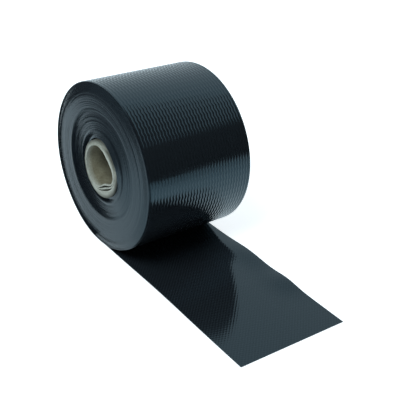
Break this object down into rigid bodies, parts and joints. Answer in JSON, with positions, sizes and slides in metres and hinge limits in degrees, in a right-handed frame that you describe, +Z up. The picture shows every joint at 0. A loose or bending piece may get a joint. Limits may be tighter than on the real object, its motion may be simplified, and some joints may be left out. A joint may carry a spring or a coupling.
{
  "type": "roll of damp proof course",
  "caption": "Part-unrolled roll of black polythene damp proof course on a cardboard core, laid under a wall to stop rising damp.",
  "frame": {"origin": "centre of the core's bore, at mid width; the floor is 72 mm below", "axes": "+Y along the bore, +X the way the free end runs out along the floor, +Z up"},
  "size_m": [0.266, 0.1052, 0.144],
  "materials": {
    "black_polythene": "embossed, semi-gloss",
    "grey_board": "uncoated, spiral wound"
  },
  "bodies": {
    "root": {"dpc_membrane": "black_polythene", "cardboard_core": "grey_board"}
  },
  "joints": []
}
